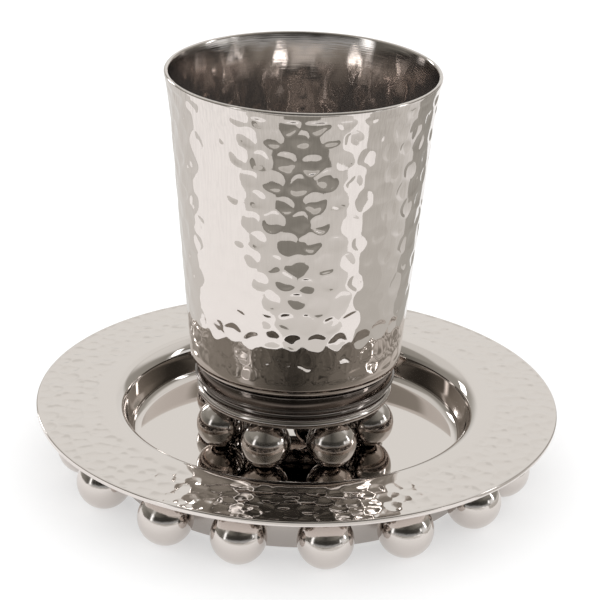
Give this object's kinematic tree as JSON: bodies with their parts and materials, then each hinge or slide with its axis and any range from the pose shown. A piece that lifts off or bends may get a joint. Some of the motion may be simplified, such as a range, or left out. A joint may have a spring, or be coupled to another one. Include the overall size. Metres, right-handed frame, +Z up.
{
  "type": "kiddush cup with saucer",
  "caption": "Tapered hammered metal beaker on a turned foot and a ring of ball feet, resting in the well of a wide hammered saucer on larger ball feet.",
  "frame": {"origin": "on the table, under the middle of the saucer, at the height of its ball feet; the cup stands 0.9 mm to -X of that middle", "axes": "+Z up along the saucer's axis; -Y faces the viewer and +X is to the viewer's right"},
  "size_m": [0.15, 0.15, 0.1191],
  "materials": {
    "hammered_nickel": "bright nickel plate over a hand-hammered surface of shallow round marks, with a faint warm tint",
    "polished_nickel": "mirror-polished nickel plate, slightly warm",
    "plain_nickel": "plain nickel plate, duller and lightly brushed"
  },
  "bodies": {
    "root": {"saucer": "hammered_nickel", "saucer_foot_band": "plain_nickel", "saucer_ball_1": "polished_nickel", "saucer_ball_2": "polished_nickel", "saucer_ball_3": "polished_nickel", "saucer_ball_4": "polished_nickel", "saucer_ball_5": "polished_nickel", "saucer_ball_6": "polished_nickel", "saucer_ball_7": "polished_nickel", "saucer_ball_8": "polished_nickel", "saucer_ball_9": "polished_nickel", "saucer_ball_10": "polished_nickel", "saucer_ball_11": "polished_nickel", "saucer_ball_12": "polished_nickel", "saucer_ball_13": "polished_nickel", "saucer_ball_14": "polished_nickel", "saucer_ball_15": "polished_nickel", "saucer_ball_16": "polished_nickel", "cup_body": "hammered_nickel", "cup_foot": "polished_nickel", "cup_ball_1": "polished_nickel", "cup_ball_2": "polished_nickel", "cup_ball_3": "polished_nickel", "cup_ball_4": "polished_nickel", "cup_ball_5": "polished_nickel", "cup_ball_6": "polished_nickel", "cup_ball_7": "polished_nickel", "cup_ball_8": "polished_nickel"}
  },
  "joints": []
}
